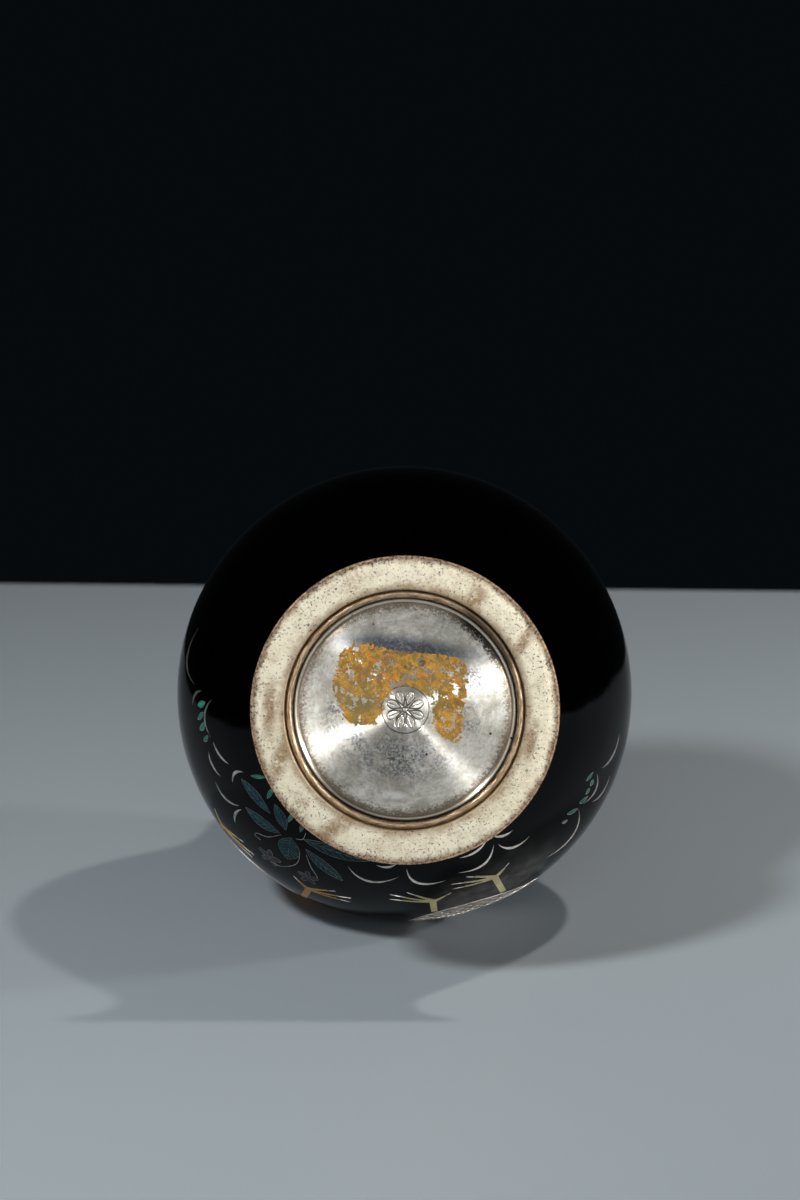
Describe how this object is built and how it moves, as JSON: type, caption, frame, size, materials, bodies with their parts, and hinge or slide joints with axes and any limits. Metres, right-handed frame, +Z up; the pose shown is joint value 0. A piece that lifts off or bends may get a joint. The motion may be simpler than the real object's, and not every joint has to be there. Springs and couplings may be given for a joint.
{
  "type": "cloisonne vase",
  "caption": "Globular black enamelled vase with a short wide neck, a flared silvered foot with a recessed base, and birds and leaves in silver wire on the front.",
  "frame": {"origin": "centre of the foot's flat underside", "axes": "+Z up along the axis of the vase towards its mouth, -Y towards the decorated front, +X to the right seen from the front"},
  "size_m": [0.1398, 0.1405, 0.14],
  "materials": {
    "copper": "bare spun copper, hidden between the enamel coats",
    "black_enamel": "deep black glassy enamel, polished flat",
    "counter_enamel": "speckled blue-green enamel lining",
    "silver_plate": "silver plate on brass, worn, pitted and stained",
    "turned_silver": "turned silver plate with circular marks and grey tarnish",
    "worn_brass": "rubbed brassy step with a dark tarnish line",
    "label_paper": "crumbling orange and olive glue and paper",
    "silver_wire": "thin polished silver wire",
    "teal_enamel": "dark teal enamel with silver veins",
    "green_enamel": "clear green enamel",
    "violet_enamel": "dark violet enamel",
    "ochre_enamel": "orange-yellow enamel",
    "cream_enamel": "pale yellow enamel",
    "grey_enamel": "grey-white enamel with fine feather wires",
    "russet_enamel": "red-brown enamel"
  },
  "bodies": {
    "root": {"base_disc": "turned_silver", "black_enamel_coat": "black_enamel", "copper_body": "copper", "counter_enamel_lining": "counter_enamel", "flower_1": "violet_enamel", "flower_2": "violet_enamel", "foot_ring": "silver_plate", "ground_wire_01": "silver_wire", "ground_wire_02": "silver_wire", "ground_wire_03": "silver_wire", "ground_wire_04": "silver_wire", "ground_wire_05": "silver_wire", "ground_wire_06": "silver_wire", "ground_wire_07": "silver_wire", "ground_wire_08": "silver_wire", "ground_wire_09": "silver_wire", "ground_wire_10": "silver_wire", "ground_wire_11": "silver_wire", "ground_wire_12": "silver_wire", "ground_wire_13": "silver_wire", "ground_wire_14": "silver_wire", "ground_wire_15": "silver_wire", "ground_wire_16": "silver_wire", "ground_wire_17": "silver_wire", "ground_wire_18": "silver_wire", "ground_wire_19": "silver_wire", "label_remnant": "label_paper", "leaf_1": "teal_enamel", "leaf_2": "teal_enamel", "leaf_3": "teal_enamel", "leaf_4": "teal_enamel", "leaf_5": "teal_enamel", "leaf_6": "teal_enamel", "left_bird_body": "grey_enamel", "left_bird_leg_1": "cream_enamel", "left_bird_leg_2": "cream_enamel", "left_bird_neck": "cream_enamel", "left_bird_tail": "grey_enamel", "left_bird_wattle": "russet_enamel", "left_bird_wing": "grey_enamel", "mouth_rim": "silver_plate", "recess_bead": "worn_brass", "right_bird_body": "russet_enamel", "right_bird_leg_1": "ochre_enamel", "right_bird_leg_2": "ochre_enamel", "right_bird_neck": "ochre_enamel", "right_bird_tail": "green_enamel", "right_bird_wattle": "russet_enamel", "right_bird_wing": "teal_enamel", "small_leaf_1": "green_enamel", "small_leaf_2": "green_enamel", "small_leaf_3": "green_enamel", "small_leaf_4": "green_enamel"}
  },
  "joints": []
}
